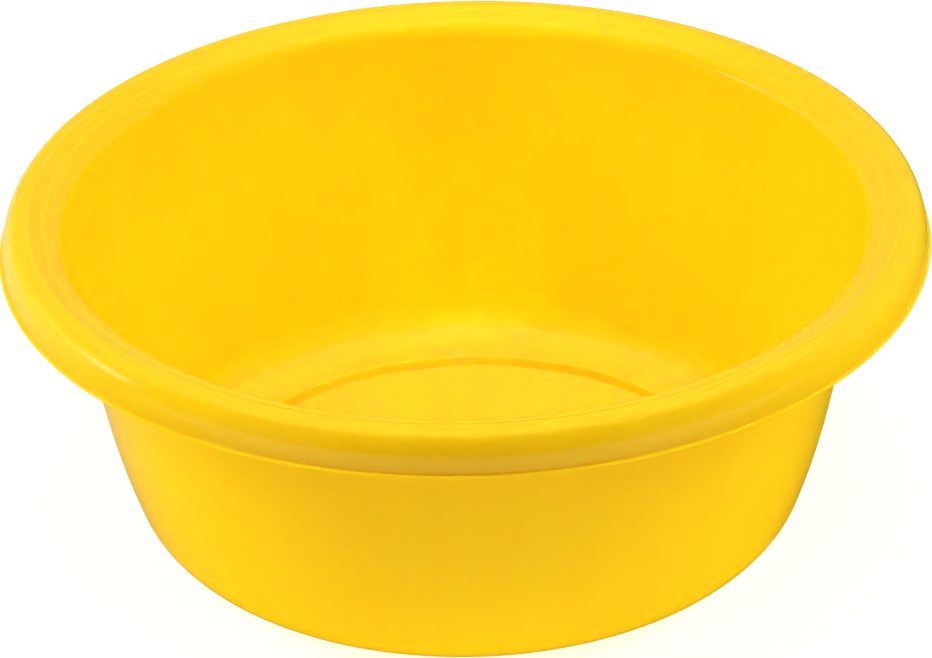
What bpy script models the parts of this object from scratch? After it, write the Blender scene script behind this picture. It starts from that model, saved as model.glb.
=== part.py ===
"""Round household basin: one moulded plastic shell with a turned-down rim and a stepped foot.

Units are metres and +Z is up. The origin is the centre of the foot's underside.
The shell is one closed section, turned about Z. Section points are (radius, height).
"""
import math

import bmesh
import bpy

OBJECT_NAME = "basin"
SHELL_NAME = "bowl_shell"

# Overall
OVERALL_RADIUS = 0.1800      # edge of the lip, the widest place
OVERALL_HEIGHT = 0.1365      # foot to the top of the rim

# Wall and lower curve, measured on the outer face
WALL_THICKNESS = 0.0020
WALL_DRAFT = math.radians(11.5)     # how far the wall leans out from upright
BELLY_RADIUS = 0.300                # wide curve at the foot of the wall
BELLY_TURN = math.radians(7.5)      # how far that curve turns
CORNER_RADIUS = 0.0230              # tighter curve from the belly into the base

# Rim, from the outside in
RIM_THICKNESS = 0.0018
SKIRT_DEPTH = 0.0159         # top of the rim to the underside of the lip
LIP_THICKNESS = 0.0014
LIP_REACH = 0.0014           # how far the lip stands out from the skirt
LIP_ROUND = 0.0004
SHOULDER_WIDTH = 0.0068      # the skirt rounds over into the land across this width
SHOULDER_HEIGHT = 0.0132
LAND_WIDTH = 0.0047          # flat ring on top of the rim
BEVEL_WIDTH = 0.0043         # slope from the land down to the ledge
BEVEL_DROP = 0.0019
LEDGE_WIDTH = 0.0019         # nearly level ring beside the mouth
LEDGE_DROP = 0.0004
MOUTH_RADIUS = 0.0076        # round edge from the ledge into the wall

# Foot and base
FOOT_DEPTH = 0.0036          # how far the foot stands below the base around it
FOOT_SETBACK = 0.0045        # from the end of the corner curve in to the foot's side
FOOT_SIDE_RUN = 0.0028       # how far the foot's side leans in over its depth
FOOT_ROUND = 0.0012
FOOT_WIDTH = 0.0080          # flat ring that the basin stands on
RECESS_DEPTH = 0.0005        # the base inside the foot is this far off the table
RECESS_RUN = 0.0030
SPRUE_RADIUS = 0.0025        # moulding mark in the middle of the underside
SPRUE_HEIGHT = 0.0003

# Plastic, as linear colour
YELLOW = (0.99, 0.61, 0.005, 1.0)
ROUGHNESS = 0.25

# Fineness of the model
TURN_STEPS = 64
CHORD_ERROR = 0.00010        # how far an arc's chords may lie from the true curve
MERGE_DISTANCE = 0.00001


def clear_scene():
    """Removes whatever the opened file holds."""
    for item in list(bpy.data.objects):
        bpy.data.objects.remove(item, do_unlink=True)


def plastic():
    """Glossy yellow polypropylene."""
    material = bpy.data.materials.new("yellow_plastic")
    material.use_nodes = True
    shader = material.node_tree.nodes["Principled BSDF"]
    shader.inputs["Base Color"].default_value = YELLOW
    shader.inputs["Roughness"].default_value = ROUGHNESS
    shader.inputs["Metallic"].default_value = 0.0
    material.diffuse_color = YELLOW
    return material


def arc(centre, radius, start, end):
    """Points on a round or oval arc. Angles run anticlockwise from the outward direction."""
    across, up = radius if isinstance(radius, tuple) else (radius, radius)
    chord_turn = 2 * math.acos(1 - CHORD_ERROR / max(across, up))
    count = max(2, math.ceil(abs(end - start) / chord_turn))
    angles = [start + (end - start) * i / count for i in range(count + 1)]
    return [(centre[0] + across * math.cos(a), centre[1] + up * math.sin(a)) for a in angles]


def fillet(before, corner, after, radius):
    """A corner between two straight runs, rounded to the radius given."""
    back = math.atan2(before[1] - corner[1], before[0] - corner[0])
    ahead = math.atan2(after[1] - corner[1], after[0] - corner[0])
    opening = (ahead - back + math.pi) % math.tau - math.pi
    half = abs(opening) / 2
    side = math.copysign(1.0, opening)
    bisector = back + side * half
    reach = radius / math.sin(half)
    centre = (corner[0] + reach * math.cos(bisector), corner[1] + reach * math.sin(bisector))
    start = back - side * math.pi / 2
    return arc(centre, radius, start, start - side * (math.pi - 2 * half))


def crossing(point, direction, other, other_direction):
    """Where two lines meet, each given by a point and a direction."""
    dr, dz = other[0] - point[0], other[1] - point[1]
    spread = direction[0] * other_direction[1] - direction[1] * other_direction[0]
    along = (dr * other_direction[1] - dz * other_direction[0]) / spread
    return point[0] + along * direction[0], point[1] + along * direction[1]


def rim_stations():
    """Radii and heights that the rim's top passes through, from the skirt to the ledge."""
    skirt = OVERALL_RADIUS - LIP_REACH
    crest = skirt - SHOULDER_WIDTH
    land = crest - LAND_WIDTH
    bevel = land - BEVEL_WIDTH
    ledge = bevel - LEDGE_WIDTH
    bevel_height = OVERALL_HEIGHT - BEVEL_DROP
    return {
        "skirt": skirt,
        "shoulder": (crest, OVERALL_HEIGHT - SHOULDER_HEIGHT),
        "crest": (crest, OVERALL_HEIGHT),
        "land": (land, OVERALL_HEIGHT),
        "bevel": (bevel, bevel_height),
        "ledge": (ledge, bevel_height - LEDGE_DROP),
    }


def mouth_edge(rim):
    """The round edge from the ledge into the bowl, from the ledge down to the wall."""
    slope = math.atan2(LEDGE_DROP, LEDGE_WIDTH)
    ledge = rim["ledge"]
    centre = (ledge[0] + MOUTH_RADIUS * math.sin(slope), ledge[1] - MOUTH_RADIUS * math.cos(slope))
    return arc(centre, MOUTH_RADIUS, math.pi / 2 + slope, math.pi - WALL_DRAFT)


def outer_wall_top(inner_top):
    """Point on the wall's outer face, level with the top of its inner face."""
    return inner_top[0] + WALL_THICKNESS / math.cos(WALL_DRAFT), inner_top[1]


def wall_curves(outer_top):
    """Centres of the belly and corner curves, for a wall whose outer face passes outer_top."""
    # the face's angle below the outward direction, at each end of the belly
    wall_angle = -WALL_DRAFT
    corner_angle = wall_angle - BELLY_TURN
    corner_height = FOOT_DEPTH + CORNER_RADIUS
    corner_end = corner_height + CORNER_RADIUS * math.sin(corner_angle)
    belly_height = corner_end - BELLY_RADIUS * math.sin(corner_angle)
    belly_end = belly_height + BELLY_RADIUS * math.sin(wall_angle)
    belly_end_radius = outer_top[0] - (outer_top[1] - belly_end) * math.tan(WALL_DRAFT)
    belly = (belly_end_radius - BELLY_RADIUS * math.cos(wall_angle), belly_height)
    corner_end_radius = belly[0] + BELLY_RADIUS * math.cos(corner_angle)
    corner = (corner_end_radius - CORNER_RADIUS * math.cos(corner_angle), corner_height)
    return belly, corner, wall_angle, corner_angle


def wall_face(curves, inset):
    """One face of the wall, from the bottom of its straight run down to the base."""
    belly, corner, wall_angle, corner_angle = curves
    upper = arc(belly, BELLY_RADIUS - inset, wall_angle, corner_angle)
    lower = arc(corner, CORNER_RADIUS - inset, corner_angle, -math.pi / 2)
    return upper + lower[1:]


def inner_base(corner):
    """Inside of the base, from the middle of the floor out to the corner curve."""
    floor = RECESS_DEPTH + WALL_THICKNESS
    ledge = FOOT_DEPTH + WALL_THICKNESS
    # the step's faces stay one wall thickness apart
    shift = WALL_THICKNESS * math.tan(math.atan2(FOOT_DEPTH, FOOT_SIDE_RUN) / 2)
    top = (corner[0] - FOOT_SETBACK - shift, ledge)
    side = (FOOT_SIDE_RUN, FOOT_DEPTH)
    bottom = crossing(top, side, (0.0, floor), (1.0, 0.0))
    start = (0.0, floor)
    end = (corner[0], ledge)
    return [start] + fillet(start, bottom, top, FOOT_ROUND) + fillet(bottom, top, end, FOOT_ROUND)


def outer_base(corner):
    """Underside of the base, from the corner curve in to the middle."""
    start = (corner[0], FOOT_DEPTH)
    top = (corner[0] - FOOT_SETBACK, FOOT_DEPTH)
    bottom = (top[0] - FOOT_SIDE_RUN, 0.0)
    inside = bottom[0] - FOOT_ROUND - FOOT_WIDTH
    points = fillet(start, top, bottom, FOOT_ROUND)
    points += fillet(top, bottom, (inside, 0.0), FOOT_ROUND)
    points.append((inside, 0.0))
    points.append((inside - RECESS_RUN, RECESS_DEPTH))
    sprue_top = RECESS_DEPTH - SPRUE_HEIGHT
    points.append((SPRUE_RADIUS + SPRUE_HEIGHT, RECESS_DEPTH))
    points.append((SPRUE_RADIUS, sprue_top))
    points.append((0.0, sprue_top))
    return points


def rim_outside(rim):
    """Top and outside of the rim, from the ledge out to the lip's underside."""
    skirt = rim["skirt"]
    lip_under = OVERALL_HEIGHT - SKIRT_DEPTH
    lip_over = lip_under + LIP_THICKNESS
    points = [rim["bevel"], rim["land"]]
    points += arc(rim["shoulder"], (SHOULDER_WIDTH, SHOULDER_HEIGHT), math.pi / 2, 0.0)
    points.append((skirt, lip_over))
    over = (OVERALL_RADIUS, lip_over)
    under = (OVERALL_RADIUS, lip_under)
    inside = (skirt - RIM_THICKNESS, lip_under)
    points += fillet(points[-1], over, under, LIP_ROUND)
    points += fillet(over, under, inside, LIP_ROUND)
    points.append(inside)
    return points


def rim_underside(rim, outer_top, wall_end):
    """The channel under the rim, from inside the skirt over to the outer face of the wall."""
    slope = math.atan2(BEVEL_DROP, BEVEL_WIDTH)
    under = OVERALL_HEIGHT - RIM_THICKNESS
    oval = (SHOULDER_WIDTH - RIM_THICKNESS, SHOULDER_HEIGHT - RIM_THICKNESS)
    points = arc(rim["shoulder"], oval, 0.0, math.pi / 2)
    land = (rim["land"][0] + RIM_THICKNESS * math.tan(slope / 2), under)
    down_wall = (-math.sin(WALL_DRAFT), -math.cos(WALL_DRAFT))
    down_bevel = (-math.cos(slope), -math.sin(slope))
    root = crossing(land, down_bevel, outer_top, down_wall)
    points.append(land)
    points += fillet(land, root, wall_end, MOUTH_RADIUS - WALL_THICKNESS)
    return points


def shell_section():
    """Closed section: floor, inside of the wall, rim, channel, outside of the wall, underside."""
    rim = rim_stations()
    mouth = mouth_edge(rim)
    outer_top = outer_wall_top(mouth[-1])
    curves = wall_curves(outer_top)
    corner = curves[1]
    outer_face = wall_face(curves, 0.0)
    points = inner_base(corner)
    points += reversed(wall_face(curves, WALL_THICKNESS))
    points += reversed(mouth)
    points += rim_outside(rim)
    points += rim_underside(rim, outer_top, outer_face[0])
    points += outer_face
    points += outer_base(corner)
    return points


def turned_object(name, points, collection):
    """An object whose mesh is an open line of points, turned once round Z by a modifier."""
    mesh = bpy.data.meshes.new(name)
    line = bmesh.new()
    verts = [line.verts.new((radius, 0.0, height)) for radius, height in points]
    for first, second in zip(verts, verts[1:]):
        line.edges.new((first, second))
    line.to_mesh(mesh)
    line.free()
    turned = bpy.data.objects.new(name, mesh)
    collection.objects.link(turned)
    screw = turned.modifiers.new("turn", 'SCREW')
    screw.axis = 'Z'
    screw.angle = math.tau
    screw.steps = TURN_STEPS
    screw.render_steps = TURN_STEPS
    screw.use_merge_vertices = True
    screw.merge_threshold = MERGE_DISTANCE
    screw.use_smooth_shade = True
    # broad faces keep their own shading, and the roundings between them take up the turn
    turned.modifiers.new("shading", 'WEIGHTED_NORMAL')
    return turned


def build():
    clear_scene()
    collection = bpy.data.collections.new(OBJECT_NAME)
    bpy.context.scene.collection.children.link(collection)
    shell = turned_object(SHELL_NAME, shell_section(), collection)
    shell.data.materials.append(plastic())


build()
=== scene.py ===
"""Looks of a round yellow household basin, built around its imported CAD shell.

Units are metres and +Z is up. Section points are (radius, height), turned about Z.
The shell is one fine turned mesh on the CAD shell's own sizes, with the shallow rings that are
moulded into its rim, round edges, and one procedural material.
"""
import math

import bmesh
import bpy
from mathutils import Matrix, Vector

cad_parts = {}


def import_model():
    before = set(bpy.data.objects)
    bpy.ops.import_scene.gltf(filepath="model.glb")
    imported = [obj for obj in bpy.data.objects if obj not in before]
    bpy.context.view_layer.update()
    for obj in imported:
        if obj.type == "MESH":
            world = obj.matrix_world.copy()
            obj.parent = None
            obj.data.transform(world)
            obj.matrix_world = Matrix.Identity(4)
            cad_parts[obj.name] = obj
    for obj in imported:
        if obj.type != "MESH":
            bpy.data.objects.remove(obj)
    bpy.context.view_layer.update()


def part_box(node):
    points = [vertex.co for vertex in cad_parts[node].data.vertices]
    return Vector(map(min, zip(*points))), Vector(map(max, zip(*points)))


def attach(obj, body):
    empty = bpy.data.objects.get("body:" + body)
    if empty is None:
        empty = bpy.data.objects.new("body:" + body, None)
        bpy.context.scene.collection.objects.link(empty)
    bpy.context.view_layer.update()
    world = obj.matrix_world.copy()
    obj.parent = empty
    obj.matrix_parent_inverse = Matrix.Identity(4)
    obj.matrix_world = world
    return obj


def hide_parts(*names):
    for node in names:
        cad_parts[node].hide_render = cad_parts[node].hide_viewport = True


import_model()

SHELL_NODE = "bowl_shell"

# Overall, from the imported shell
OVERALL_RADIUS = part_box(SHELL_NODE)[1].x
OVERALL_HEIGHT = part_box(SHELL_NODE)[1].z

# Wall and lower curve, measured on the outer face
WALL_THICKNESS = 0.0020
WALL_DRAFT = math.radians(11.5)
BELLY_RADIUS = 0.300
BELLY_TURN = math.radians(7.5)
CORNER_RADIUS = 0.0230

# Rim, from the outside in
RIM_THICKNESS = 0.0018
SKIRT_DEPTH = 0.0159
LIP_THICKNESS = 0.0014
LIP_REACH = 0.0014
LIP_ROUND = 0.00069
SHOULDER_WIDTH = 0.0068
SHOULDER_HEIGHT = 0.0132
LAND_WIDTH = 0.0047
BEVEL_WIDTH = 0.0043
BEVEL_DROP = 0.0019
LEDGE_WIDTH = 0.0019
LEDGE_DROP = 0.0004
MOUTH_RADIUS = 0.0076

# Two raised rings moulded on the rim's top
BEAD_HEIGHT = 0.00030
BEAD_TOP = 0.0014                # flat width on top of a ring
BEAD_SIDE = 0.0007               # width of each sloping side
OUTER_BEAD_RADIUS = 0.1684
INNER_BEAD_RADIUS = 0.1620
RIM_ROUND = 0.0040               # softening of the rim's two slight bends
RIM_SPACING = 0.00020

# Foot and base
FOOT_DEPTH = 0.0036
FOOT_SETBACK = 0.0045
FOOT_SIDE_RUN = 0.0028
FOOT_ROUND = 0.0012
FOOT_WIDTH = 0.0080
RECESS_DEPTH = 0.0005
RECESS_RUN = 0.0030
SPRUE_RADIUS = 0.0025
SPRUE_HEIGHT = 0.0003

# Fineness of the mesh
TURN_STEPS = 288
CHORD_ERROR = 0.00001
MERGE_DISTANCE = 0.00001

# Camera, for a picture of 932 x 658
IMAGE_WIDTH = 932
IMAGE_HEIGHT = 658
VIEW_CENTRE_X = 467.2            # pixel that the lens points at
VIEW_CENTRE_Y = 342.2
SENSOR_WIDTH = 36.0
LENS = 210.75
CAMERA_DISTANCE = 2.136
CAMERA_TARGET = Vector((0.0, 0.0, 0.0735))
CAMERA_PITCH = math.radians(30.17)
CAMERA_ROLL = math.radians(-1.337)

# Colours of the plastic, as 8-bit screen values
PIGMENT_THIN = (254, 205, 13)
PIGMENT_THICK = (255, 207, 16)
GRAIN_SHEEN_COLOUR = (253, 205, 46)    # painted sheen, which makes the bowl's floor paler
STEP_SHADE_COLOUR = (238, 192, 13)     # painted shade on the side of the step in that floor, which makes it deeper

# Plastic
PLASTIC_IOR = 1.49
SCATTER_WEIGHT = 0.8
SCATTER_RADIUS = (1.0, 0.6, 0.08)
SCATTER_SCALE = 0.003
STREAK_SCALE = 9.0
STREAK_DETAIL = 3.0
STREAK_SHARE = 0.45              # of the pigment's pattern, whose other share is clouds
CLOUD_SCALE = 14.0
CLOUD_DETAIL = 2.0
PIGMENT_RANGE = (0.38, 0.62)     # values of the pattern between which the colour turns
FLAT_RANGE = (0.7, 0.97)         # upward part of a normal, from a slope to a level face
INNER_RANGE = (0.0, 0.3)         # the same, from an upright face to a slope, which is inside the bowl
GRAIN_AND_SHEEN_FADE = (0.02, 0.05)        # heights between which the bowl's matt grain and its painted sheen fade out
STEP_SHADE_FADE = 0.001                # rise over which the step's painted shade fades out above its top
SCUFF_SCALE = 160.0
SCUFF_DETAIL = 4.0
SCUFF_ROUGHNESS = 0.6
SCUFF_RANGE = (0.3, 0.7)         # values of the scuffs between which the polish turns
POLISH = (0.15, 0.22)            # least and most roughness of the glossy skin
GRAIN_MATT = 0.2                 # roughness that the grain adds
RIPPLE_SCALE = 260.0
RIPPLE_DETAIL = 2.0
RIPPLE_HEIGHT = 0.00002
RIPPLE_STRENGTH = 0.5

# Colour of the light from the floor and the world
WHITE = (1.0, 1.0, 1.0, 1.0)

# Floor
FLOOR_SIZE = 8.0
FLOOR_ROUGHNESS = 0.9
FLOOR_SEEN = (0.5, 0.5, 0.5, 1.0)
FLOOR_SEEN_GLOW = 0.72           # with the light that falls on it, the floor comes to white
FLOOR_BOUNCE = (0.8, 0.8, 0.8, 1.0)
FLOOR_GLOSS = (0.0, 0.0, 0.0, 1.0)
TABLE_GLOW = 0.77                # the floor is a light table under and around the basin
TABLE_EDGE = (0.25, 0.45)        # where that glow starts to fade, and where it ends
LEFT_SHEEN = 0.55                # what gloss shows of the floor behind, left and right, and in front
RIGHT_SHEEN = 0.05
FRONT_SHEEN = 0.5
SHEEN_BEHIND = (-0.1, 0.25)      # Y between which the sheen behind sets in
SHEEN_ACROSS = (-0.1, 0.1)       # X between which the left sheen turns to the right one
SHEEN_IN_FRONT = (-0.25, -0.45)  # Y between which the sheen in front sets in

# World, with values of a direction's Y or Z between which a light sets in or ends
SIDE_LIGHT = 1.2                 # comes from the front sides, and not from overhead
SIDE_LIGHT_START = (-0.25, -0.5)
SIDE_LIGHT_END = (-0.62, -0.83)
SIDE_LIGHT_TOP = (0.5, 0.8)
BACK_GLOSS = 0.25                # what gloss shows behind
BACK_GLOSS_START = (-0.05, 0.05)
TOP_GLOSS = 0.3                  # what gloss shows overhead
TOP_GLOSS_BACK = (-0.5, -0.1)
TOP_GLOSS_START = (0.8, 0.9)

# Lamps, each with its name, place, aim, width, height and power
RIM_AIM = (0.0, 0.0, 0.12)
WALL_AIM = (0.0, 0.0, 0.05)
STRIPS = (
    ("left_strip", (-1.3, -0.02, 0.42), RIM_AIM, 0.3, 0.24, 0.75),
    ("left_strip_tail", (-1.25, 0.42, 0.42), RIM_AIM, 0.57, 0.24, 0.2),
)
FILLS = (
    ("left_fill", (-1.49, 0.12, 0.9), WALL_AIM, 0.7, 0.7, 20.4),
    ("right_fill", (1.49, 0.18, 0.9), WALL_AIM, 0.7, 0.7, 16.7),
    ("right_front_fill", (1.4, -0.5, 0.9), WALL_AIM, 0.7, 0.7, 2.9),
    ("top_fill", (0.0, -0.15, 1.6), WALL_AIM, 0.6, 0.6, 7.6),
)
# these two have grids that keep their light inside the bowl, and end with its spread in degrees
BOWL_LAMPS = (
    ("inside_front", (0.0, -0.3, 1.3), (0.0, 0.01, 0.05), 0.2, 0.2, 0.11, 18),
    ("inside_far", (0.0, -0.8, 1.1), (0.0, 0.12, 0.06), 0.1, 0.1, 0.028, 9),
)


def arc(centre, radius, start, end):
    """Points on a round or oval arc. Angles run anticlockwise from the outward direction."""
    across, up = radius if isinstance(radius, tuple) else (radius, radius)
    chord_turn = 2 * math.acos(1 - CHORD_ERROR / max(across, up))
    count = max(2, math.ceil(abs(end - start) / chord_turn))
    angles = [start + (end - start) * i / count for i in range(count + 1)]
    return [(centre[0] + across * math.cos(a), centre[1] + up * math.sin(a)) for a in angles]


def fillet(before, corner, after, radius):
    """A corner between two straight runs, rounded to the radius given."""
    back = math.atan2(before[1] - corner[1], before[0] - corner[0])
    ahead = math.atan2(after[1] - corner[1], after[0] - corner[0])
    opening = (ahead - back + math.pi) % math.tau - math.pi
    half = abs(opening) / 2
    side = math.copysign(1.0, opening)
    bisector = back + side * half
    reach = radius / math.sin(half)
    centre = (corner[0] + reach * math.cos(bisector), corner[1] + reach * math.sin(bisector))
    start = back - side * math.pi / 2
    return arc(centre, radius, start, start - side * (math.pi - 2 * half))


def crossing(point, direction, other, other_direction):
    """Where two lines meet, each given by a point and a direction."""
    dr, dz = other[0] - point[0], other[1] - point[1]
    spread = direction[0] * other_direction[1] - direction[1] * other_direction[0]
    along = (dr * other_direction[1] - dz * other_direction[0]) / spread
    return point[0] + along * direction[0], point[1] + along * direction[1]


def rim_stations():
    """Radii and heights that the rim's top passes through, from the skirt to the ledge."""
    skirt = OVERALL_RADIUS - LIP_REACH
    crest = skirt - SHOULDER_WIDTH
    land = crest - LAND_WIDTH
    bevel = land - BEVEL_WIDTH
    ledge = bevel - LEDGE_WIDTH
    land_height = OVERALL_HEIGHT - BEAD_HEIGHT
    bevel_height = OVERALL_HEIGHT - BEVEL_DROP
    return {
        "skirt": skirt,
        "shoulder": (crest, OVERALL_HEIGHT - SHOULDER_HEIGHT),
        "crest": (crest, land_height),
        "land": (land, land_height),
        "bevel": (bevel, bevel_height),
        "ledge": (ledge, bevel_height - LEDGE_DROP),
    }


def mouth_edge(rim):
    """The round edge from the ledge into the bowl, from the ledge down to the wall."""
    slope = math.atan2(LEDGE_DROP, LEDGE_WIDTH)
    ledge = rim["ledge"]
    centre = (ledge[0] + MOUTH_RADIUS * math.sin(slope), ledge[1] - MOUTH_RADIUS * math.cos(slope))
    return arc(centre, MOUTH_RADIUS, math.pi / 2 + slope, math.pi - WALL_DRAFT)


def outer_wall_top(inner_top):
    """Point on the wall's outer face, level with the top of its inner face."""
    return inner_top[0] + WALL_THICKNESS / math.cos(WALL_DRAFT), inner_top[1]


def wall_curves(outer_top):
    """Centres of the belly and corner curves, for a wall whose outer face passes outer_top."""
    wall_angle = -WALL_DRAFT
    corner_angle = wall_angle - BELLY_TURN
    corner_height = FOOT_DEPTH + CORNER_RADIUS
    corner_end = corner_height + CORNER_RADIUS * math.sin(corner_angle)
    belly_height = corner_end - BELLY_RADIUS * math.sin(corner_angle)
    belly_end = belly_height + BELLY_RADIUS * math.sin(wall_angle)
    belly_end_radius = outer_top[0] - (outer_top[1] - belly_end) * math.tan(WALL_DRAFT)
    belly = (belly_end_radius - BELLY_RADIUS * math.cos(wall_angle), belly_height)
    corner_end_radius = belly[0] + BELLY_RADIUS * math.cos(corner_angle)
    corner = (corner_end_radius - CORNER_RADIUS * math.cos(corner_angle), corner_height)
    return belly, corner, wall_angle, corner_angle


def wall_face(curves, inset):
    """One face of the wall, from the bottom of its straight run down to the base."""
    belly, corner, wall_angle, corner_angle = curves
    upper = arc(belly, BELLY_RADIUS - inset, wall_angle, corner_angle)
    lower = arc(corner, CORNER_RADIUS - inset, corner_angle, -math.pi / 2)
    return upper + lower[1:]


def inner_base(corner):
    """Inside of the base, from the middle of the floor out to the corner curve."""
    floor = RECESS_DEPTH + WALL_THICKNESS
    ledge = FOOT_DEPTH + WALL_THICKNESS
    shift = WALL_THICKNESS * math.tan(math.atan2(FOOT_DEPTH, FOOT_SIDE_RUN) / 2)
    top = (corner[0] - FOOT_SETBACK - shift, ledge)
    side = (FOOT_SIDE_RUN, FOOT_DEPTH)
    bottom = crossing(top, side, (0.0, floor), (1.0, 0.0))
    start = (0.0, floor)
    end = (corner[0], ledge)
    return [start] + fillet(start, bottom, top, FOOT_ROUND) + fillet(bottom, top, end, FOOT_ROUND)


def outer_base(corner):
    """Underside of the base, from the corner curve in to the middle."""
    start = (corner[0], FOOT_DEPTH)
    top = (corner[0] - FOOT_SETBACK, FOOT_DEPTH)
    bottom = (top[0] - FOOT_SIDE_RUN, 0.0)
    inside = bottom[0] - FOOT_ROUND - FOOT_WIDTH
    recess = (inside - RECESS_RUN, RECESS_DEPTH)
    sprue_top = RECESS_DEPTH - SPRUE_HEIGHT
    sprue_foot = (SPRUE_RADIUS + SPRUE_HEIGHT, RECESS_DEPTH)
    points = fillet(start, top, bottom, FOOT_ROUND)
    points += fillet(top, bottom, (inside, 0.0), FOOT_ROUND)
    points += fillet(bottom, (inside, 0.0), recess, FOOT_ROUND)
    points += fillet((inside, 0.0), recess, sprue_foot, FOOT_ROUND)
    points.append(sprue_foot)
    points.append((SPRUE_RADIUS, sprue_top))
    points.append((0.0, sprue_top))
    return points


def bead_rise(radius):
    """How far the raised rings lift the rim's top at a radius."""
    rise = 0.0
    for middle in (OUTER_BEAD_RADIUS, INNER_BEAD_RADIUS):
        share = (abs(radius - middle) - BEAD_TOP / 2) / BEAD_SIDE
        rise += BEAD_HEIGHT * (1 + math.cos(math.pi * min(max(share, 0.0), 1.0))) / 2
    return rise


def rim_top(rim, mouth):
    """Top of the rim, from the wall over the mouth's round edge to the crest, with its rings."""
    ledge, bevel, land, crest = rim["ledge"], rim["bevel"], rim["land"], rim["crest"]
    bends = fillet(ledge, bevel, land, RIM_ROUND) + fillet(bevel, land, crest, RIM_ROUND)
    run = list(reversed(mouth)) + bends + [crest]
    points = [run[0]]
    for start, end in zip(run, run[1:]):
        count = max(1, math.ceil(math.dist(start, end) / RIM_SPACING))
        for step in range(1, count + 1):
            points.append((start[0] + (end[0] - start[0]) * step / count,
                           start[1] + (end[1] - start[1]) * step / count))
    return [(radius, height + bead_rise(radius)) for radius, height in points]


def rim_outside(rim):
    """Shoulder, skirt and lip, from the crest out to the lip's underside."""
    skirt = rim["skirt"]
    lip_under = OVERALL_HEIGHT - SKIRT_DEPTH
    lip_over = lip_under + LIP_THICKNESS
    over = (OVERALL_RADIUS, lip_over)
    under = (OVERALL_RADIUS, lip_under)
    inside = (skirt - RIM_THICKNESS, lip_under)
    oval = (SHOULDER_WIDTH, SHOULDER_HEIGHT - BEAD_HEIGHT)
    points = arc(rim["shoulder"], oval, math.pi / 2, 0.0)[1:]
    points.append((skirt, lip_over))
    points += fillet(points[-1], over, under, LIP_ROUND)
    points += fillet(over, under, inside, LIP_ROUND)
    points.append(inside)
    return points


def rim_underside(rim, outer_top, wall_end):
    """The channel under the rim, from inside the skirt over to the outer face of the wall."""
    slope = math.atan2(BEVEL_DROP, BEVEL_WIDTH)
    under = OVERALL_HEIGHT - RIM_THICKNESS
    oval = (SHOULDER_WIDTH - RIM_THICKNESS, SHOULDER_HEIGHT - RIM_THICKNESS)
    points = arc(rim["shoulder"], oval, 0.0, math.pi / 2)
    land = (rim["land"][0] + RIM_THICKNESS * math.tan(slope / 2), under)
    down_wall = (-math.sin(WALL_DRAFT), -math.cos(WALL_DRAFT))
    down_bevel = (-math.cos(slope), -math.sin(slope))
    root = crossing(land, down_bevel, outer_top, down_wall)
    points.append(land)
    points += fillet(land, root, wall_end, MOUTH_RADIUS - WALL_THICKNESS)
    return points


def shell_section():
    """Closed section: floor, inside of the wall, rim, channel, outside of the wall, underside."""
    rim = rim_stations()
    mouth = mouth_edge(rim)
    outer_top = outer_wall_top(mouth[-1])
    curves = wall_curves(outer_top)
    corner = curves[1]
    outer_face = wall_face(curves, 0.0)
    points = inner_base(corner)
    points += list(reversed(wall_face(curves, WALL_THICKNESS)))
    points += rim_top(rim, mouth)
    points += rim_outside(rim)
    points += rim_underside(rim, outer_top, outer_face[0])
    points += outer_face
    points += outer_base(corner)
    return points


def turned_object(name, points):
    """One mesh, made by turning a line of points once round Z."""
    line = bpy.data.meshes.new(name + "_line")
    build = bmesh.new()
    verts = [build.verts.new((radius, 0.0, height)) for radius, height in points]
    for first, second in zip(verts, verts[1:]):
        build.edges.new((first, second))
    build.to_mesh(line)
    build.free()
    turned = bpy.data.objects.new(name, line)
    bpy.context.scene.collection.objects.link(turned)
    screw = turned.modifiers.new("turn", 'SCREW')
    screw.axis = 'Z'
    screw.angle = math.tau
    screw.steps = TURN_STEPS
    screw.render_steps = TURN_STEPS
    screw.use_merge_vertices = True
    screw.merge_threshold = MERGE_DISTANCE
    screw.use_smooth_shade = True
    bpy.context.view_layer.update()
    evaluated = turned.evaluated_get(bpy.context.evaluated_depsgraph_get())
    turned.data = bpy.data.meshes.new_from_object(evaluated)
    turned.data.name = name
    turned.modifiers.clear()
    # broad faces keep their own shading, and the roundings between them take up the turn
    turned.modifiers.new("shading", 'WEIGHTED_NORMAL')
    return turned


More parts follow.
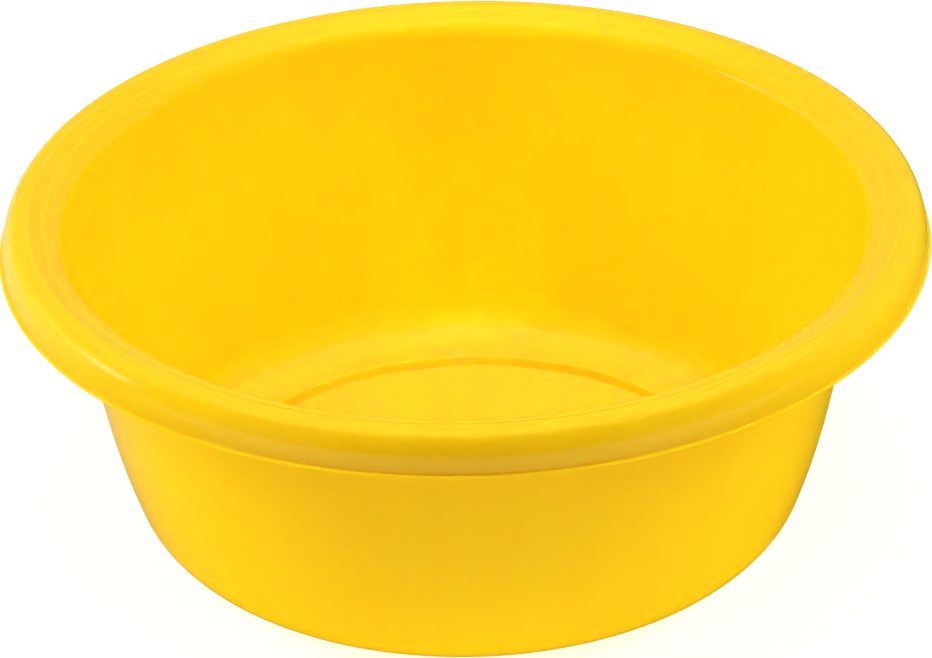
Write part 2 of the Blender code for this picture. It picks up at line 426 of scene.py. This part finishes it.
class Graph:
    """Adds and links the nodes of one material or world."""

    def __init__(self, tree):
        self.tree = tree

    def node(self, kind, **values):
        made = self.tree.nodes.new(kind)
        for name, value in values.items():
            setattr(made, name, value)
        return made

    def link(self, source, target):
        self.tree.links.new(source, target)

    def coordinates(self, kind):
        return self.node("ShaderNodeTexCoord").outputs[kind]

    def split(self, vector):
        """The X, Y and Z outputs of a vector."""
        made = self.node("ShaderNodeSeparateXYZ")
        self.link(vector, made.inputs["Vector"])
        return made.outputs

    def noise(self, vector, scale, detail, roughness=0.5):
        made = self.node("ShaderNodeTexNoise")
        made.inputs["Scale"].default_value = scale
        made.inputs["Detail"].default_value = detail
        made.inputs["Roughness"].default_value = roughness
        self.link(vector, made.inputs["Vector"])
        return made.outputs["Fac"]

    def remap(self, value, old, new):
        """Takes a value from its old range to a new one, and holds it at the ends."""
        made = self.node("ShaderNodeMapRange")
        limits = {"From Min": old[0], "From Max": old[1], "To Min": new[0], "To Max": new[1]}
        for name, number in limits.items():
            made.inputs[name].default_value = number
        self.link(value, made.inputs["Value"])
        return made.outputs["Result"]

    def feed(self, value, socket):
        """Sets a socket to a plain value, or links an output to it."""
        if isinstance(value, bpy.types.NodeSocket):
            self.link(value, socket)
        else:
            socket.default_value = value

    def maths(self, operation, first, second):
        made = self.node("ShaderNodeMath", operation=operation)
        self.feed(first, made.inputs[0])
        self.feed(second, made.inputs[1])
        return made.outputs["Value"]

    def mix(self, kind, share, first, second):
        made = self.node("ShaderNodeMix", data_type=kind)
        self.link(share, made.inputs["Factor"])
        sockets = [socket for socket in made.inputs if socket.enabled]
        self.feed(first, sockets[1])
        self.feed(second, sockets[2])
        return next(socket for socket in made.outputs if socket.enabled)


def srgb(red, green, blue):
    """Linear colour of an 8-bit screen colour."""
    def linear(value):
        share = value / 255
        return share / 12.92 if share <= 0.04045 else ((share + 0.055) / 1.055) ** 2.4
    return linear(red), linear(green), linear(blue), 1.0


def pigment(graph, place, parts):
    """The plastic's yellow, with faint streaks and clouds of pigment."""
    flat = graph.node("ShaderNodeCombineXYZ")
    graph.link(parts["X"], flat.inputs["X"])
    graph.link(parts["Y"], flat.inputs["Y"])
    spoke = graph.node("ShaderNodeVectorMath", operation='NORMALIZE')
    graph.link(flat.outputs["Vector"], spoke.inputs["Vector"])
    # plastic flowed out from the middle, so its streaks run along the spokes
    streaks = graph.noise(spoke.outputs["Vector"], STREAK_SCALE, STREAK_DETAIL)
    clouds = graph.noise(place, CLOUD_SCALE, CLOUD_DETAIL)
    pattern = graph.maths('ADD', graph.maths('MULTIPLY', streaks, STREAK_SHARE),
                          graph.maths('MULTIPLY', clouds, 1.0 - STREAK_SHARE))
    thickness = graph.remap(pattern, PIGMENT_RANGE, (0.0, 1.0))
    return graph.mix('RGBA', thickness, srgb(*PIGMENT_THIN), srgb(*PIGMENT_THICK))


def grain_and_sheen_share(graph, upward, height):
    """Where the plastic has its matt grain and a painted paler sheen: on the bowl's floor, fading out
    up the corner curve.
    """
    level = graph.remap(upward, FLAT_RANGE, (0.0, 1.0))
    low = graph.remap(height, GRAIN_AND_SHEEN_FADE, (1.0, 0.0))
    return graph.maths('MULTIPLY', level, low)


def step_shade_share(graph, upward, height):
    """Where painted shade lies, on the side of the step in the bowl's floor."""
    step_top = FOOT_DEPTH + WALL_THICKNESS
    steep = graph.remap(upward, FLAT_RANGE, (1.0, 0.0))
    low = graph.remap(height, (step_top, step_top + STEP_SHADE_FADE), (1.0, 0.0))
    inner = graph.remap(upward, INNER_RANGE, (0.0, 1.0))
    return graph.maths('MULTIPLY', graph.maths('MULTIPLY', steep, low), inner)


def plastic():
    """Glossy yellow polypropylene with a lightly rippled skin. The bowl's floor is matt, and paler
    with a painted sheen; the side of its step has painted shade.
    """
    material = bpy.data.materials.new("yellow_polypropylene")
    material.use_nodes = True
    graph = Graph(material.node_tree)
    shader = material.node_tree.nodes["Principled BSDF"]
    shader.inputs["IOR"].default_value = PLASTIC_IOR
    shader.inputs["Subsurface Weight"].default_value = SCATTER_WEIGHT
    shader.inputs["Subsurface Radius"].default_value = SCATTER_RADIUS
    shader.inputs["Subsurface Scale"].default_value = SCATTER_SCALE

    place = graph.coordinates("Object")
    parts = graph.split(place)
    upward = graph.split(graph.coordinates("Normal"))["Z"]
    grain_and_sheen = grain_and_sheen_share(graph, upward, parts["Z"])
    step = step_shade_share(graph, upward, parts["Z"])
    # the side of the step is coloured darker: painted shade
    tone = graph.mix('RGBA', step, pigment(graph, place, parts), srgb(*STEP_SHADE_COLOUR))
    # the floor's paler colour is painted sheen; its matt grain is in the roughness below
    colour = graph.mix('RGBA', grain_and_sheen, tone, srgb(*GRAIN_SHEEN_COLOUR))
    graph.link(colour, shader.inputs["Base Color"])

    scuffs = graph.noise(place, SCUFF_SCALE, SCUFF_DETAIL, SCUFF_ROUGHNESS)
    polish = graph.remap(scuffs, SCUFF_RANGE, POLISH)
    matt = graph.maths('MULTIPLY', grain_and_sheen, GRAIN_MATT)
    graph.link(graph.maths('ADD', polish, matt), shader.inputs["Roughness"])

    bump = graph.node("ShaderNodeBump")
    bump.inputs["Strength"].default_value = RIPPLE_STRENGTH
    bump.inputs["Distance"].default_value = RIPPLE_HEIGHT
    graph.link(graph.noise(place, RIPPLE_SCALE, RIPPLE_DETAIL), bump.inputs["Height"])
    graph.link(bump.outputs["Normal"], shader.inputs["Normal"])
    return material


def floor_material():
    """Pale matt light table, which the camera sees white with the basin's light shadow."""
    material = bpy.data.materials.new("pale_floor")
    material.use_nodes = True
    # its light isn't sampled like a lamp's, so each kind of ray sees its own strength
    material.cycles.emission_sampling = 'NONE'
    graph = Graph(material.node_tree)
    shader = material.node_tree.nodes["Principled BSDF"]
    shader.inputs["Roughness"].default_value = FLOOR_ROUGHNESS
    shader.inputs["Specular IOR Level"].default_value = 0.0
    shader.inputs["Emission Color"].default_value = WHITE
    path = graph.node("ShaderNodeLightPath")
    seen, glossy = path.outputs["Is Camera Ray"], path.outputs["Is Glossy Ray"]
    unseen = graph.mix('RGBA', glossy, FLOOR_BOUNCE, FLOOR_GLOSS)
    graph.link(graph.mix('RGBA', seen, unseen, FLOOR_SEEN), shader.inputs["Base Color"])

    place = graph.coordinates("Object")
    parts = graph.split(place)
    reach = graph.node("ShaderNodeVectorMath", operation='LENGTH')
    graph.link(place, reach.inputs["Vector"])
    table = graph.remap(reach.outputs["Value"], TABLE_EDGE, (TABLE_GLOW, 0.0))
    behind = graph.maths('MULTIPLY', graph.remap(parts["Y"], SHEEN_BEHIND, (0.0, 1.0)),
                         graph.remap(parts["X"], SHEEN_ACROSS, (LEFT_SHEEN, RIGHT_SHEEN)))
    front = graph.remap(parts["Y"], SHEEN_IN_FRONT, (0.0, FRONT_SHEEN))
    light = graph.mix('FLOAT', glossy, table, graph.maths('ADD', behind, front))
    graph.link(graph.mix('FLOAT', seen, light, FLOOR_SEEN_GLOW), shader.inputs["Emission Strength"])
    return material


def floor():
    """Flat floor that the basin stands on."""
    mesh = bpy.data.meshes.new("floor")
    build = bmesh.new()
    bmesh.ops.create_grid(build, x_segments=1, y_segments=1, size=FLOOR_SIZE / 2)
    build.to_mesh(mesh)
    build.free()
    made = bpy.data.objects.new("floor", mesh)
    bpy.context.scene.collection.objects.link(made)
    made.data.materials.append(floor_material())


def world():
    """White for the camera. Light comes from the front sides, and gloss shows the back and the top."""
    made = bpy.data.worlds.new("studio")
    bpy.context.scene.world = made
    made.use_nodes = True
    # its light isn't sampled like a lamp's, so each kind of ray sees its own strength
    made.cycles.sampling_method = 'NONE'
    graph = Graph(made.node_tree)
    background = made.node_tree.nodes["Background"]
    background.inputs["Color"].default_value = WHITE
    direction = graph.split(graph.coordinates("Generated"))
    back, up = direction["Y"], direction["Z"]
    side = graph.maths('MULTIPLY', graph.remap(back, SIDE_LIGHT_START, (0.0, SIDE_LIGHT)),
                       graph.remap(back, SIDE_LIGHT_END, (1.0, 0.0)))
    light = graph.maths('MULTIPLY', side, graph.remap(up, SIDE_LIGHT_TOP, (1.0, 0.0)))
    top = graph.maths('MULTIPLY', graph.remap(back, TOP_GLOSS_BACK, (0.0, 1.0)),
                      graph.remap(up, TOP_GLOSS_START, (0.0, TOP_GLOSS)))
    gloss = graph.maths('ADD', graph.remap(back, BACK_GLOSS_START, (0.0, BACK_GLOSS)), top)
    path = graph.node("ShaderNodeLightPath")
    unseen = graph.mix('FLOAT', path.outputs["Is Glossy Ray"], light, gloss)
    strength = graph.mix('FLOAT', path.outputs["Is Camera Ray"], unseen, 1.0)
    graph.link(strength, background.inputs["Strength"])


def area_light(name, place, aim, width, height, power):
    """A rectangular soft light at place, pointed at aim."""
    data = bpy.data.lights.new(name, 'AREA')
    data.shape = 'RECTANGLE'
    data.size = width
    data.size_y = height
    data.energy = power
    made = bpy.data.objects.new(name, data)
    bpy.context.scene.collection.objects.link(made)
    made.location = place
    made.rotation_euler = (Vector(aim) - Vector(place)).to_track_quat('-Z', 'Y').to_euler()
    return made


def lights():
    """Strips that show in the gloss, and wide fills and lamps over the bowl that don't."""
    for strip in STRIPS:
        area_light(*strip)
    for fill in FILLS:
        made = area_light(*fill)
        made.visible_glossy = False
    for *lamp, spread in BOWL_LAMPS:
        made = area_light(*lamp)
        made.visible_glossy = False
        made.data.spread = math.radians(spread)


def camera():
    """The photograph's view."""
    data = bpy.data.cameras.new("camera")
    data.sensor_width = SENSOR_WIDTH
    data.lens = LENS
    data.shift_x = (IMAGE_WIDTH / 2 - VIEW_CENTRE_X) / IMAGE_WIDTH
    data.shift_y = (VIEW_CENTRE_Y - IMAGE_HEIGHT / 2) / IMAGE_WIDTH
    made = bpy.data.objects.new("camera", data)
    bpy.context.scene.collection.objects.link(made)
    back = Vector((0.0, -math.cos(CAMERA_PITCH), math.sin(CAMERA_PITCH)))
    turn = Matrix.Rotation(math.pi / 2 - CAMERA_PITCH, 4, 'X') @ Matrix.Rotation(CAMERA_ROLL, 4, 'Z')
    made.matrix_world = Matrix.Translation(CAMERA_TARGET + back * CAMERA_DISTANCE) @ turn
    bpy.context.scene.camera = made


def shell():
    """The whole basin, in place of its CAD shell."""
    piece = turned_object("basin_shell", shell_section())
    piece.data.materials.append(plastic())
    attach(piece, "root")
    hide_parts(SHELL_NODE)


camera()
floor()
world()
lights()
shell()
bpy.context.scene.view_settings.view_transform = 'Standard'
